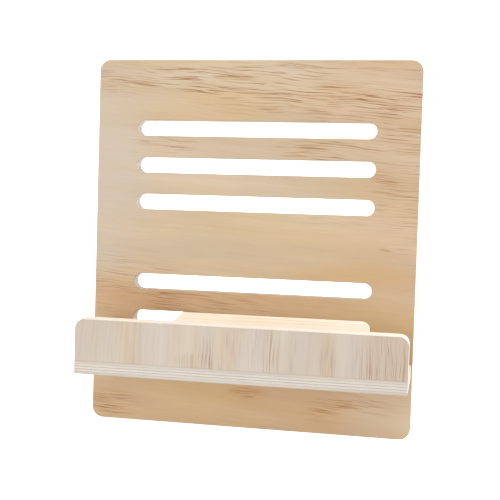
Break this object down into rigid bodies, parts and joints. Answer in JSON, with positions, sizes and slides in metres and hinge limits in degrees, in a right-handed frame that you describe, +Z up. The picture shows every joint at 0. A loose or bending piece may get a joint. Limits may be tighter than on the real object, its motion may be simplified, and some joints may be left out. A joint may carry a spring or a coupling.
{
  "type": "quran stand",
  "caption": "Plywood book stand: a slotted backboard leans on the tongue of a T-shaped shelf plugged through its lowest slot, with a raised lip along the shelf's front edge.",
  "frame": {"origin": "middle of the footprint, on the surface the stand rests on", "axes": "+Z up, +Y towards the back, +X to the right as the reader faces the stand"},
  "size_m": [0.253, 0.1784, 0.2586],
  "materials": {
    "board_face": "sanded pine veneer, clear matt lacquer, grain across the board",
    "shelf_face": "sanded pine veneer, clear matt lacquer, grain across the shelf",
    "lip_face": "sanded pale veneer, clear matt lacquer, upright grain",
    "crossband": "sawn and sanded end grain, clear matt lacquer",
    "core": "sawn and sanded long grain, clear matt lacquer"
  },
  "bodies": {
    "backboard": {"board_front_veneer": "board_face", "board_front_crossband": "crossband", "board_core": "core", "board_rear_crossband": "crossband", "board_rear_veneer": "board_face"},
    "ledge": {"shelf_bottom_veneer": "shelf_face", "shelf_lower_crossband": "crossband", "shelf_core": "core", "shelf_upper_crossband": "crossband", "shelf_top_veneer": "shelf_face", "lip_front_veneer": "lip_face", "lip_front_crossband": "crossband", "lip_core": "core", "lip_rear_crossband": "crossband", "lip_rear_veneer": "lip_face"}
  },
  "joints": [
    {"name": "ledge_pull", "type": "slide", "parent": "backboard", "child": "ledge", "axis": [0, -0.9429, 0.3332], "range_m": [0, 0.145]}
  ]
}
